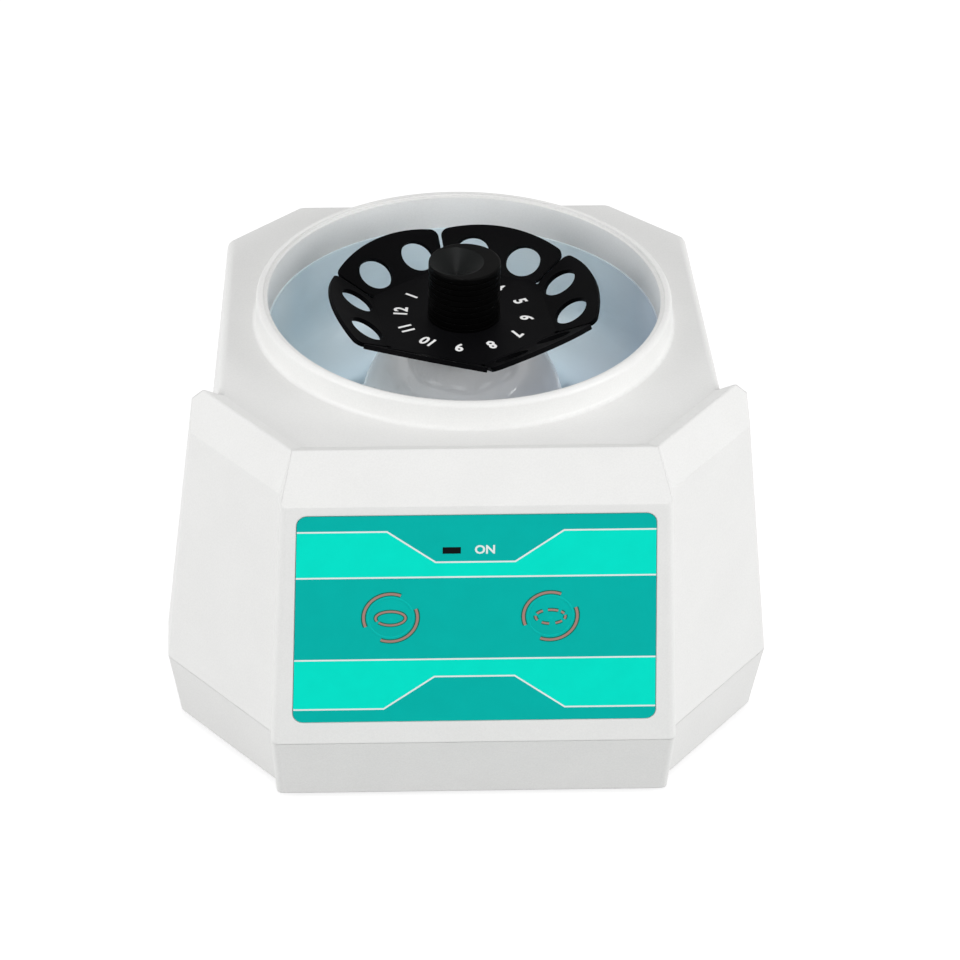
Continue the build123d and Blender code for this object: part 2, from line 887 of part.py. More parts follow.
def power_led():
    z = -key_board_depth()
    body = Pos(-window_x, -window_drop, z) * extrude(Circle(1.5), key_board_depth() - wall - 0.8)
    collar_ring = Pos(-window_x, -window_drop, z) * extrude(Circle(1.9), 1.0)
    return on_panel(body + collar_ring)


def key_cap(place):
    """A round key: crowned face, guide, retaining flange and a stem to its switch."""
    crown_radius = (key_r ** 2 + key_crown ** 2) / (2 * key_crown)
    length = wall + key_flange_t
    key = extrude(Circle(key_r), length + key_crown)
    ball = Pos(0, 0, length + key_crown - crown_radius) * Sphere(crown_radius)
    key = Pos(0, 0, -length) * (key & ball)
    flange = Pos(0, 0, -wall - key_flange_t) * extrude(Circle(key_flange_r), key_flange_t)
    flange = Pos(0, 0, -travel_gap / 3) * flange
    stem = Pos(0, 0, -length - key_stem) * extrude(Circle(2.0), key_stem)
    return on_panel(Pos(*place) * (key + flange + stem))


def key_board():
    board = Pos(0, -key_board_drop, -key_board_depth() - board_t) * extrude(
        RectangleRounded(key_board_w, key_board_h, 2), board_t)
    holes = [Pos(x, y, -40) * extrude(Circle(1.3), 80) for x, y in key_board_screw_places()]
    return on_panel(board - (Part() + holes))


def key_switches():
    """Two tactile switches, each a square body with a round plunger."""
    switches = []
    for x, y in key_places():
        body = extrude(Rectangle(switch_size, switch_size), switch_h - 1.0)
        body += Pos(0, 0, switch_h - 1.0) * extrude(Circle(1.7), 1.0 - key_travel - travel_gap)
        switches.append(on_panel(Pos(x, y, -key_board_depth()) * body))
    return Part() + switches


def key_board_screws():
    low = -key_board_depth() - board_t
    screws = [
        Pos(x, y, low) * (extrude(Circle(0.9), board_t + 5) + Pos(0, 0, -1.4) * extrude(Circle(2.0), 1.4))
        for x, y in key_board_screw_places()
    ]
    return Part() + [on_panel(s) for s in screws]


# Tray fittings

def main_board():
    cx, cy = board_place
    board = Pos(cx, cy, foot_h + board_height) * extrude(RectangleRounded(*board_size, 2), board_t)
    return board - (Part() + [rod(1.6, 20, 0, x, y) for x, y in board_pegs()])


def board_parts():
    """The larger components on the main board, each standing on the board."""
    cx, cy = board_place
    z = foot_h + board_height + board_t
    low = (Align.CENTER, Align.CENTER, Align.MIN)
    items = [Pos(cx + x, cy + y, z) * extrude(Circle(r), h)
             for x, y, r, h in ((-30, 2, 5.0, 12.0), (-17, 3, 4.0, 10.0), (32, -6, 3.2, 8.0))]
    items += [Pos(cx + x, cy + y, z) * Box(w, d, h, align=low)
              for x, y, w, d, h in ((2, 0, 12, 9, 4), (18, 4, 15, 12, 10), (-2, -12, 20, 5, 6))]
    fins = Pos(cx + 33, cy + 8, z) * Box(10, 8, 2, align=low)
    for i in range(4):
        fins += Pos(cx + 29.4 + i * 2.4, cy + 8, z) * Box(1.0, 8, 10, align=low)
    return Part() + (items + [fins])


def main_board_screws():
    z = foot_h + board_height + board_t
    return Part() + [
        rod(0.95, board_t + 5, z - board_t - 5, x, y) + rod(2.2, 1.5, z, x, y) for x, y in board_pegs()]


def housing_screws():
    head_z = 12.0
    screws = []
    for x, y in mirrored(boss_places):
        shank = rod(1.15, seam_z + 8 - head_z, head_z, x, y)
        screws.append(shank + rod(screw_head_r, screw_head_h, head_z - screw_head_h, x, y))
    return Part() + screws


# Rear fittings

def switch_frame():
    body_h = rocker_depth
    frame = extrude(RectangleRounded(rocker_bezel_w, rocker_bezel_h, 1.2), rocker_bezel_t)
    body = Pos(0, 0, -body_h) * extrude(Rectangle(rocker_body_w, rocker_body_h), body_h)
    pocket = Pos(0, 0, -body_h + 5) * extrude(
        Rectangle(rocker_w + 2 * travel_gap, rocker_len + 2 * travel_gap), body_h + 10)
    tabs = Part() + [Pos(x, 0, -body_h - 4) * extrude(Rectangle(0.8, 4.8), 4.5) for x in (-6, 0, 6)]
    return on_rear(frame + body - pocket + tabs, rocker_x, rocker_z)


def rocker_radius():
    """Half length of the rocker, short enough to swing in its pocket."""
    return rocker_len / 2 - rocker_swing


def power_rocker():
    """A rocker with two faces that meet over its pivot, shown switched off."""
    r = rocker_radius()
    rise_end = 2.6
    centre = rocker_bezel_t - 0.4
    face = [(-r, rise_end), (0, centre + 0.2), (r, rise_end)]
    low = [(r * 0.9, -2.2), (0, -5.6), (-r * 0.9, -2.2)]
    section = make_face(Polyline(*[(0, y, z) for y, z in face + low], close=True))
    rocker = extrude(section, rocker_w / 2, dir=(1, 0, 0)) + extrude(section, rocker_w / 2, dir=(-1, 0, 0))
    return on_rear(Rot(-rocker_tilt, 0, 0) * rocker, rocker_x, rocker_z)


def dc_inlet():
    barrel = Pos(0, 0, -inlet_len) * extrude(Circle(inlet_r), inlet_len)
    flange = extrude(Circle(inlet_flange_r), inlet_flange_t)
    flange = chamfer(flange.edges().group_by(Axis.Z)[-1], 0.4)
    bore = Pos(0, 0, inlet_flange_t - inlet_bore_depth) * extrude(Circle(inlet_bore_r), inlet_bore_depth + 1)
    pin = Pos(0, 0, -inlet_len + 1) * extrude(Circle(inlet_pin_r), inlet_len - 1.2)
    tabs = Part() + [Pos(x, 0, -inlet_len - 4) * extrude(Rectangle(0.8, 2.5), 4.5) for x in (-2, 2)]
    return on_rear(barrel + flange - bore + pin + tabs, inlet_x, rocker_z)


def inlet_nut():
    nut = extrude(RegularPolygon(nut_r, 6) - Circle(inlet_r), nut_t)
    return on_rear(Pos(0, 0, -wall - nut_t) * nut, inlet_x, rocker_z)


pieces = {
    "upper_housing": upper_housing,
    "lower_housing": lower_housing,
    "rubber_feet": rubber_feet,
    "chamber_bowl": chamber_bowl,
    "bowl_screws": bowl_screws,
    "hub_dome": hub_dome,
    "shaft_seal": shaft_seal,
    "tube_rotor": tube_rotor,
    "rotor_hub": rotor_hub,
    "vortex_head": vortex_head,
    "motor_shaft": motor_shaft,
    "armature": armature,
    "commutator": commutator,
    "motor_can": motor_can,
    "motor_end_cap": motor_end_cap,
    "field_magnets": field_magnets,
    "upper_bush": upper_bush,
    "lower_bush": lower_bush,
    "brush_holder": brush_holder,
    "motor_bracket": motor_bracket,
    "motor_screws": motor_screws,
    "isolators": isolators,
    "bracket_screws": bracket_screws,
    "panel_overlay": panel_overlay,
    "led_window": led_window,
    "power_led": power_led,
    "start_button": lambda: key_cap(key_places()[0]),
    "pulse_button": lambda: key_cap(key_places()[1]),
    "key_board": key_board,
    "key_switches": key_switches,
    "key_board_screws": key_board_screws,
    "main_board": main_board,
    "board_parts": board_parts,
    "main_board_screws": main_board_screws,
    "housing_screws": housing_screws,
    "switch_frame": switch_frame,
    "power_rocker": power_rocker,
    "dc_inlet": dc_inlet,
    "inlet_nut": inlet_nut,
}

os.makedirs("parts", exist_ok=True)
for name, make in pieces.items():
    write(name, make())
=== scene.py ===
import math

import bmesh
import bpy
from mathutils import Matrix, Vector


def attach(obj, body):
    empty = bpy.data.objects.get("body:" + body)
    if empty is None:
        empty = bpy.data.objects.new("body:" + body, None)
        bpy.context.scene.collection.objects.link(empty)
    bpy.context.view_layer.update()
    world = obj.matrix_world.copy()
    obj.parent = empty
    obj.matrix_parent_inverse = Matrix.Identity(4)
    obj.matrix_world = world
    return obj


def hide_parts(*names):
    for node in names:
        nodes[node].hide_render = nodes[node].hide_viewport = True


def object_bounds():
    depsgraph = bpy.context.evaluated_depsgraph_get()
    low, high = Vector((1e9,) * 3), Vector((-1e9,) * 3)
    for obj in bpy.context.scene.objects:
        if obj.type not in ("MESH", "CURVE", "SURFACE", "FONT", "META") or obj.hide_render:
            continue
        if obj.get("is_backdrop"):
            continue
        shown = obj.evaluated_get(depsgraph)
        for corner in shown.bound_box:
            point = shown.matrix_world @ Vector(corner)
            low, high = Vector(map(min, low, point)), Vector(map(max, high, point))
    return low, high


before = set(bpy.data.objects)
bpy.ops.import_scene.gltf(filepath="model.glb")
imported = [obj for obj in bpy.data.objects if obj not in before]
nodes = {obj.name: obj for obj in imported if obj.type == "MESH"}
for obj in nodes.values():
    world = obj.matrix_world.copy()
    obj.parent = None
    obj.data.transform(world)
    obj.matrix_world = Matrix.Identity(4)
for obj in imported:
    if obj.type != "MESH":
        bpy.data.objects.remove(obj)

bounds_at_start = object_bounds()

# Places and sizes, in mm unless a comment says otherwise

MM = 0.001             # in Blender's metres
AXIS_Y = 12.0          # rotor axis behind the middle of the footprint
LEAN = 0.095           # lean of the housing's walls, as a slope
PANEL_TOP = 103.2      # height of the front panel's top edge
PANEL_Y = -85.43       # where that edge lies
ROTOR_Z = 115.3        # upper side of the rotor's floor
BOWL_DEEPEST_SHADE_Z = 66.0     # up to here the bowl's colour carries its deepest painted shade
BOWL_SHADE_END_Z = 84.0   # from here up the bowl has no painted shade
BOWL_SHADE_ANGLE = 0.7   # its side with painted shade points this far, in radians, in front of the right
CUP_X = -2.6           # where the head's cup lies beside the rotor axis
CUP_R = 8.7
CUP_Z = ROTOR_Z + 10   # the cup lies above this height, and the rotor below it

# Colours, linear

WHITE = (0.80, 0.80, 0.79)
TEAL_DARK = (0.0, 0.455, 0.405)
TEAL_BRIGHT = (0.0, 0.775, 0.60)
PRINT_WHITE = (0.80, 0.86, 0.85)
NUMBER_GREY = (0.50, 0.50, 0.50)
SALMON = (0.40, 0.225, 0.195)
SALMON_EDGE = (0.008, 0.145, 0.095)


# Materials

class Surface:
    """A procedural material: a mottled colour, uneven gloss and a fine relief."""

    def __init__(self, name, colour, rough, metal=0.0, specular=0.5):
        self.mat = bpy.data.materials.new(name)
        self.mat.use_nodes = True
        self.tree = self.mat.node_tree
        self.bsdf = self.tree.nodes["Principled BSDF"]
        self.bsdf.inputs["Metallic"].default_value = metal
        self.bsdf.inputs["Specular IOR Level"].default_value = specular
        self.mat.diffuse_color = (*colour, 1)
        self.colour = colour
        self.rough = rough
        self.normal = None
        self.place = self.node("ShaderNodeTexCoord").outputs["Object"]

    def node(self, kind, **settings):
        n = self.tree.nodes.new(kind)
        for key, value in settings.items():
            setattr(n, key, value)
        return n

    def link(self, a, b):
        self.tree.links.new(a, b)

    def noise(self, size_mm, detail=2.0, stretch=(1, 1, 1)):
        move = self.node("ShaderNodeMapping")
        move.inputs["Scale"].default_value = stretch
        self.link(self.place, move.inputs["Vector"])
        tex = self.node("ShaderNodeTexNoise")
        tex.inputs["Scale"].default_value = 1 / MM / size_mm
        tex.inputs["Detail"].default_value = detail
        self.link(move.outputs["Vector"], tex.inputs["Vector"])
        return tex.outputs["Fac"]

    def streaks(self, value, scale, detail):
        """Noise that changes along one value only."""
        n = self.node("ShaderNodeTexNoise", noise_dimensions="1D")
        n.inputs["Scale"].default_value = scale
        n.inputs["Detail"].default_value = detail
        self.link(value, n.inputs["W"])
        return n.outputs["Fac"]

    def spread(self, value, low, high, low_in=0.3, high_in=0.7):
        """Carry a value from one range to another."""
        n = self.node("ShaderNodeMapRange")
        n.inputs["From Min"].default_value = low_in
        n.inputs["From Max"].default_value = high_in
        n.inputs["To Min"].default_value = low
        n.inputs["To Max"].default_value = high
        self.link(value, n.inputs["Value"])
        return n.outputs["Result"]

    def math(self, operation, a, b=None):
        n = self.node("ShaderNodeMath", operation=operation)
        for socket, value in zip(n.inputs, (a, b)):
            if isinstance(value, (int, float)):
                socket.default_value = value
            elif value is not None:
                self.link(value, socket)
        return n.outputs[0]

    def mix(self, factor, a, b):
        """A colour between a and b; either can be a colour or another node's output."""
        n = self.node("ShaderNodeMix", data_type="RGBA")
        self.link(factor, n.inputs[0])
        for socket, value in ((n.inputs[6], a), (n.inputs[7], b)):
            if isinstance(value, tuple):
                socket.default_value = (*value, 1)
            else:
                self.link(value, socket)
        return n.outputs[2]

    def mottle(self, size_mm, amount):
        """Clouds a little darker and lighter than the colour."""
        cloud = self.spread(self.noise(size_mm, detail=3.0), 0.0, 1.0)
        dark, light = (tuple(c * share for c in self.colour) for share in (1 - amount, 1 + amount))
        self.tint = self.mix(cloud, dark, light)
        return self

    def speckle(self, size_mm, amount):
        """Fine light and dark grains over the colour so far."""
        grain = self.spread(self.noise(size_mm, detail=1.0), 1 - amount, 1 + amount)
        n = self.node("ShaderNodeVectorMath", operation="SCALE")
        self.link(self.tint, n.inputs[0])
        self.link(grain, n.inputs["Scale"])
        self.tint = n.outputs[0]
        return self

    def gloss(self, size_mm, amount):
        """Patches a little glossier and duller than the roughness given."""
        patch = self.noise(size_mm, detail=3.0)
        self.link(self.spread(patch, self.rough - amount, self.rough + amount), self.bsdf.inputs["Roughness"])
        return self

    def relief(self, value, depth_mm):
        """A bump on top of the relief so far."""
        n = self.node("ShaderNodeBump")
        n.inputs["Strength"].default_value = 1.0
        n.inputs["Distance"].default_value = depth_mm * MM
        self.link(value, n.inputs["Height"])
        if self.normal is not None:
            self.link(self.normal, n.inputs["Normal"])
        self.normal = n.outputs["Normal"]
        return self

    def soft_edges(self, radius_mm):
        n = self.node("ShaderNodeBevel", samples=4)
        n.inputs["Radius"].default_value = radius_mm * MM
        self.normal = n.outputs["Normal"]
        return self

    def polar(self, centre_x=0.0):
        """Radius in mm, angle in radians and height in mm, about the rotor axis or one beside it."""
        split = self.node("ShaderNodeSeparateXYZ")
        self.link(self.place, split.inputs[0])
        x, y, z = (self.math("MULTIPLY", output, 1 / MM) for output in split.outputs)
        x = self.math("SUBTRACT", x, centre_x)
        y = self.math("SUBTRACT", y, AXIS_Y)
        squares = self.math("ADD", self.math("MULTIPLY", x, x), self.math("MULTIPLY", y, y))
        return self.math("SQRT", squares), self.math("ARCTAN2", y, x), z

    def done(self):
        self.link(self.tint, self.bsdf.inputs["Base Color"])
        self.link(self.normal, self.bsdf.inputs["Normal"])
        return self.mat


def moulded(name, colour, rough=0.42, grain=0.35, depth=0.006, mottle=0.02, edge=0.5, specular=0.5):
    """Moulded plastic: cloudy tone, a fine speckle and the grain of the mould."""
    s = Surface(name, colour, rough, specular=specular)
    s.soft_edges(edge).mottle(18, mottle).speckle(0.55, mottle * 1.6).gloss(9, 0.04)
    return s.relief(s.noise(grain), depth).done()


def metal(name, colour, rough, grain, along=(1, 1, 1)):
    """Metal; along says how many times finer its grain is in each direction."""
    s = Surface(name, colour, rough, metal=1.0)
    s.mottle(6, 0.08).gloss(3, 0.08)
    return s.relief(s.noise(grain, stretch=along), 0.01).done()


def board_material():
    """Green lacquer over a pattern of tracks."""
    s = Surface("solder_mask", (0.02, 0.16, 0.06), 0.3)
    tracks = s.node("ShaderNodeTexBrick")
    tracks.inputs["Scale"].default_value = 260
    tracks.inputs["Mortar Size"].default_value = 0.06
    s.link(s.place, tracks.inputs["Vector"])
    lines = tracks.outputs["Fac"]
    s.tint = s.mix(lines, (0.02, 0.15, 0.06), (0.05, 0.28, 0.12))
    return s.gloss(4, 0.05).relief(lines, 0.03).done()


def bowl_material():
    """Spun metal: fine rings, broad soft streaks of painted reflection that run out from the middle, painted
    shade low down and on one side.
    """
    s = Surface("spun_bowl", (0.72, 0.80, 0.86), 0.40, metal=0.25)
    radius, angle, z = s.polar()
    rings = s.streaks(s.math("ADD", radius, z), scale=2.2, detail=4)
    # painted reflection: lighter streaks that change with the angle round the axis, standing in for the spun
    # metal's radial highlights
    reflection_rays = s.streaks(angle, scale=1.4, detail=2)
    base = s.mix(s.spread(reflection_rays, 0.0, 1.0, 0.35, 0.65), (0.81, 0.935, 0.99), (0.88, 0.965, 0.99))
    base = s.mix(s.math("MULTIPLY", s.spread(rings, 0.0, 1.0), 0.10), base, (0.62, 0.74, 0.82))
    # painted shade: the colour darkens towards the bottom of the bowl, where less light reaches
    base = s.mix(s.spread(z, 0.0, 1.0, BOWL_DEEPEST_SHADE_Z, BOWL_SHADE_END_Z), (0.37, 0.48, 0.56), base)
    # painted shade: one side of the bowl is darkened, most where the angle plus BOWL_SHADE_ANGLE is zero
    painted_shade_side = s.math("MAXIMUM", s.math("COSINE", s.math("ADD", angle, BOWL_SHADE_ANGLE)), 0.0)
    s.tint = s.mix(s.math("MULTIPLY", painted_shade_side, 0.75), base, (0.46, 0.52, 0.66))
    return s.gloss(12, 0.02).relief(rings, 0.003).done()


def dome_material():
    """Milky plastic with a clear gloss."""
    s = Surface("milky_dome", (0.93, 0.93, 0.93), 0.12)
    s.bsdf.inputs["Coat Weight"].default_value = 0.6
    s.bsdf.inputs["Coat Roughness"].default_value = 0.04
    return s.mottle(14, 0.02).gloss(10, 0.02).relief(s.noise(25, detail=1.0), 0.02).done()


def printed(name, colour, rough=0.42):
    """Ink on the front film, with the film's faint grain."""
    s = Surface(name, colour, rough, specular=0.07)
    return s.mottle(7, 0.02).gloss(5, 0.03).relief(s.noise(0.5, detail=1.0), 0.003).done()


def rubber(name, colour, rough, specular=0.25):
    """Matt rubber, as a surface that a caller can add to before it is done."""
    s = Surface(name, colour, rough, specular=specular)
    return s.soft_edges(0.25).mottle(5, 0.15).gloss(4, 0.05).relief(s.noise(0.4, detail=3.0), 0.012)


def head_material():
    """Rubber with a cup that use has polished, whose lighter grey is painted sheen in place of its gloss."""
    s = rubber("head_rubber", (0.0012, 0.0012, 0.0012), 0.42, specular=0.02)
    radius, _, z = s.polar(CUP_X)
    # painted sheen: the cup's lighter colour stands in for the gloss of its polished surface
    cup_sheen_mask = s.math("MULTIPLY", s.math("LESS_THAN", radius, CUP_R), s.math("GREATER_THAN", z, CUP_Z))
    s.tint = s.mix(cup_sheen_mask, s.tint, (0.0065, 0.007, 0.007))
    return s.done()


def dress(names, material):
    for name in names:
        mesh = nodes[name].data
        mesh.materials.clear()
        mesh.materials.append(material)


def dress_nodes():
    """Give every node of the frame its material."""
    dress(["upper_housing"], moulded("housing_white", WHITE, depth=0.005, mottle=0.012, edge=0.7))
    dress(["lower_housing"], moulded("tray_white", (0.79, 0.79, 0.78), 0.46, mottle=0.015))
    dress(["chamber_bowl"], bowl_material())
    dress(["hub_dome"], dome_material())
    dress(["tube_rotor", "rotor_hub"],
          moulded("rotor_black", (0.0016, 0.0016, 0.0019), 0.5, grain=0.3, depth=0.005, mottle=0.1,
                  edge=0.25, specular=0.018))
    dress(["vortex_head"], head_material())
    dress(["panel_overlay"], printed("film_teal", TEAL_DARK))
    dress(["start_button", "pulse_button"], printed("key_teal", TEAL_DARK, 0.34))
    dress(["led_window"],
          moulded("window_dark", (0.002, 0.004, 0.004), 0.16, grain=0.5, depth=0.001, mottle=0.1,
                  edge=0.1, specular=0.06))
    dress(["power_led"],
          moulded("led_green", (0.03, 0.40, 0.06), 0.15, grain=0.5, depth=0.001, mottle=0.1, edge=0.1))
    dress(["rubber_feet", "isolators"], rubber("foot_rubber", (0.012, 0.012, 0.013), 0.62).done())
    dress(["shaft_seal"], rubber("seal_rubber", (0.02, 0.02, 0.02), 0.5).done())
    dress(["bowl_screws", "motor_screws", "bracket_screws", "key_board_screws", "main_board_screws",
           "housing_screws"], metal("screw_steel", (0.50, 0.50, 0.49), 0.3, 0.8))
    dress(["motor_shaft"], metal("ground_shaft", (0.60, 0.60, 0.61), 0.18, 0.5, along=(1, 1, 12)))
    dress(["motor_bracket"], metal("plated_steel", (0.55, 0.55, 0.54), 0.32, 1.2, along=(1, 1, 30)))
    dress(["motor_can"], metal("can_steel", (0.50, 0.51, 0.52), 0.28, 1.0, along=(1, 1, 0.05)))
    dress(["armature"], metal("laminations", (0.20, 0.20, 0.21), 0.45, 0.6, along=(0.05, 0.05, 3)))
    dress(["commutator"], metal("copper", (0.75, 0.36, 0.18), 0.3, 0.5, along=(0.1, 0.1, 1)))
    dress(["upper_bush", "lower_bush"], metal("sintered_bronze", (0.50, 0.33, 0.14), 0.5, 0.3))
    dress(["field_magnets"],
          moulded("ferrite", (0.03, 0.03, 0.032), 0.6, grain=0.3, depth=0.02, mottle=0.2, edge=0.3))
    dress(["motor_end_cap", "brush_holder"], moulded("cap_black", (0.02, 0.02, 0.022), 0.5))
    dress(["key_board", "main_board"], board_material())
    dress(["key_switches", "board_parts"],
          moulded("part_black", (0.025, 0.025, 0.027), 0.4, grain=0.3, mottle=0.2))
    dress(["switch_frame", "dc_inlet"],
          moulded("fitting_black", (0.018, 0.018, 0.02), 0.38, grain=0.4, depth=0.008, mottle=0.1))
    dress(["power_rocker"],
          moulded("rocker_black", (0.015, 0.015, 0.017), 0.25, grain=0.6, depth=0.003, mottle=0.1))
    dress(["inlet_nut"], metal("nickel", (0.62, 0.60, 0.56), 0.25, 0.6))


# Outlines and pieces

def turned(x, y, degrees):
    a = math.radians(degrees)
    return x * math.cos(a) - y * math.sin(a), x * math.sin(a) + y * math.cos(a)


def arc(cx, cy, r, start, end, steps):
    """Points of a circle between two angles in radians, both ends included."""
    return [(cx + r * math.cos(start + (end - start) * i / steps),
             cy + r * math.sin(start + (end - start) * i / steps)) for i in range(steps + 1)]


def oval_arc(cx, cy, rx, ry, start, end, steps):
    """Points of an ellipse between two angles in degrees, both ends included."""
    angles = [math.radians(start + (end - start) * i / steps) for i in range(steps + 1)]
    return [(cx + rx * math.cos(a), cy + ry * math.sin(a)) for a in angles]


def in_scene(name, data):
    item = bpy.data.objects.new(name, data)
    bpy.context.scene.collection.objects.link(item)
    return item


def piece_of(bm, name, material):
    """An object made from a bmesh, which is used up, in one material."""
    mesh = bpy.data.meshes.new(name)
    bm.to_mesh(mesh)
    bm.free()
    mesh.materials.append(material)
    return in_scene(name, mesh)


# Rotor

PETALS = 6
PETAL_TURN = 360 / PETALS
HALF_PETAL = math.radians(PETAL_TURN / 2)
FIRST_PETAL = 68.5     # angle of the first petal from +X, in degrees
FOLD = 27.05           # distance from the axis to the line where a petal bends up
TILT = math.radians(31)   # slope of a petal
DISC_R = 44.75         # radius of the flat disc that the rotor is bent from
SHEET = 1.5            # its thickness
SLIT = 0.45            # half width of a slit
SLIT_END_R = 0.8       # radius of the round end of a slit
PETAL_CORNER_R = 2.6
SHAFT_HOLE_R = 3.2
HOLE_R = 5.6           # radius of a tube hole
HOLE_OUT = 32.8        # how far out it lies, seen from above, once its petal is bent
HOLE_ASIDE = 8.8       # its distance from the petal's middle


def petal_edge():
    """A petal's edge on the flat disc, pointing along +X: up its right side, round, down its left."""
    lean = math.atan(math.cos(TILT) * math.tan(HALF_PETAL))
    side_y = FOLD * math.tan(HALF_PETAL) - SLIT / math.cos(HALF_PETAL)
    out = Vector((-math.sin(lean), math.cos(lean)))
    along = Vector((math.cos(lean), math.sin(lean)))
    # The corner's centre lies its radius inside both the slit's side and the disc's edge
    start = Vector((FOLD, side_y)) - out * PETAL_CORNER_R
    reach = DISC_R - PETAL_CORNER_R
    ahead = start.dot(along)
    centre = start + along * (math.sqrt(ahead * ahead + reach * reach - start.length_squared) - ahead)
    outward = math.atan2(centre.y, centre.x)
    corner = arc(centre.x, centre.y, PETAL_CORNER_R, outward, math.atan2(out.y, out.x), steps=8)
    right = [(x, -y) for x, y in reversed(corner)]
    return right + arc(0, 0, DISC_R, -outward, outward, steps=24)[1:-1] + corner


def disc_loops():
    """The flat disc's edge with its slits, then its holes."""
    edge, holes = [], [arc(0, 0, SHAFT_HOLE_R, 0, 2 * math.pi, steps=48)[:-1]]
    mouth = math.asin(SLIT / SLIT_END_R)
    slit_x = FOLD / math.cos(HALF_PETAL)
    hole_x = FOLD + (HOLE_OUT - FOLD) / math.cos(TILT)
    for i in range(PETALS):
        turn = FIRST_PETAL + PETAL_TURN * i
        edge += [turned(x, y, turn) for x, y in petal_edge()]
        slit_end = arc(slit_x, 0, SLIT_END_R, -mouth, mouth - 2 * math.pi, steps=16)
        edge += [turned(x, y, turn + PETAL_TURN / 2) for x, y in slit_end]
        for side in (-1, 1):
            circle = arc(hole_x, side * HOLE_ASIDE, HOLE_R, 0, 2 * math.pi, steps=56)[:-1]
            holes.append([turned(x, y, turn) for x, y in circle])
    return [edge] + holes


def bent(x, y):
    """Where a point of the flat disc goes when the petals are bent up."""
    petal = round((math.degrees(math.atan2(y, x)) - FIRST_PETAL) / PETAL_TURN)
    turn = FIRST_PETAL + PETAL_TURN * petal
    u, v = turned(x, y, -turn)
    beyond = max(u - FOLD, 0)
    u, v = turned(u - beyond + beyond * math.cos(TILT), v, turn)
    return Vector((u, v + AXIS_Y, ROTOR_Z + beyond * math.sin(TILT))) * MM


def rotor_dish():
    """The rotor as a disc that is slit, bent along its folds and given its thickness."""
    bm = bmesh.new()
    for loop in disc_loops():
        corners = [bm.verts.new((x, y, 0)) for x, y in loop]
        for i, corner in enumerate(corners):
            bm.edges.new((corners[i - 1], corner))
    bmesh.ops.triangle_fill(bm, edges=bm.edges[:], use_beauty=True, use_dissolve=False, normal=(0, 0, 1))
    for i in range(PETALS):
        out = Vector((*turned(1, 0, FIRST_PETAL + PETAL_TURN * i), 0))
        everything = bm.verts[:] + bm.edges[:] + bm.faces[:]
        bmesh.ops.bisect_plane(bm, geom=everything, plane_co=out * FOLD, plane_no=out)
    for vert in bm.verts:
        vert.co = bent(vert.co.x, vert.co.y)
    bmesh.ops.recalc_face_normals(bm, faces=bm.faces[:])
    if bm.faces[0].normal.z < 0:
        bmesh.ops.reverse_faces(bm, faces=bm.faces[:])
    dish = piece_of(bm, "rotor_dish", nodes["tube_rotor"].data.materials[0])
    sheet = dish.modifiers.new("sheet", "SOLIDIFY")
    sheet.thickness = SHEET * MM
    sheet.offset = -1
    sheet.use_even_offset = True
    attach(dish, "rotor")
    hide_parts("tube_rotor")


# Printed pieces, with u to the right and v up from the middle of the panel's top edge

FILM_TOP_HALF = 54.8   # half width of the film at that edge
FILM_WIDENS = 1.5      # how much wider each half is at its foot
FILM_HEIGHT = 72.4
UPPER_V, MID_TOP_V, MID_LOW_V, LOWER_V = -5.6, -21.5, -50.25, -67.7   # the four lines across
DIP_V, RISE_V = -16.3, -56.4   # how far the first goes down in the middle, and the last up
UPPER_LINE = [(-27.4, UPPER_V), (-12.5, DIP_V), (11.9, DIP_V), (26.7, UPPER_V)]
LOWER_LINE = [(-28.2, LOWER_V), (-12.5, RISE_V), (12.3, RISE_V), (28.0, LOWER_V)]
KEYS = ((-26.2, -35.5), (23.0, -35.5))   # their centres
KEY_R = 6.8            # radius at which the crown of a key ends
KEY_CROWN = 0.5        # height of that crown
RIM_PROFILE = [(6.62, 0.03), (6.80, 0.13), (7.05, 0.13), (7.35, 0.005)]   # radius and lift
RIM_STEPS = 96
KEY_ARC_R = 8.3
KEY_ARCS = ((68, 202), (21, -111))   # their ends, in degrees
ICON_RX, ICON_RY = 4.6, 2.4   # half width and half height of the rings on the keys
WHOLE_RING = [(-142, 205)]    # a ring's parts, by their ends in degrees
BROKEN_RING = [(100, 60), (45, 25), (10, -22), (-40, -70), (-95, -125), (-150, -185), (-205, -238)]
WORD_SPOT = (2.6, -12.2, 0, 1.0)   # as lettering takes it
WORD_SIZE = 4.0
NUMBER_SIZE = 6.0
NUMBER_RING_R = 19.9
NUMBER_5_AT = 66.5     # angle of the number 5, in degrees clockwise from the back
NUMBER_TURN = 30
NUMBER_NARROW = 0.9    # width of the digits as a share of the font's
BOLDER = 0.03          # how far the letters' outlines are moved out, as a share of their size
MITRE_LIMIT = 0.3      # cosine of half a bend, below which its corner is cut short

# Each layer's stroke width and its lift above the surface

BAND_LIFT, TEXT_LIFT = 0.02, 0.03
LINE_WIDTH, LINE_LIFT = 0.55, 0.04
ARC_EDGE_WIDTH, ARC_EDGE_LIFT = 1.5, 0.05
ARC_WIDTH, ARC_LIFT = 0.8, 0.07
ICON_EDGE_WIDTH, ICON_EDGE_LIFT = 1.3, 0.03
ICON_WIDTH, ICON_LIFT = 0.65, 0.05


def panel_point(u, v, lift):
    scale = math.hypot(1, LEAN)
    out = Vector((0, -1, LEAN)) / scale
    up = Vector((0, LEAN, 1)) / scale
    return (Vector((u, PANEL_Y, PANEL_TOP)) + up * v + out * lift) * MM


def rotor_point(u, v, lift):
    """A point over the rotor's floor, with u to the right and v back from the axis."""
    return Vector((u, v + AXIS_Y, ROTOR_Z + lift)) * MM


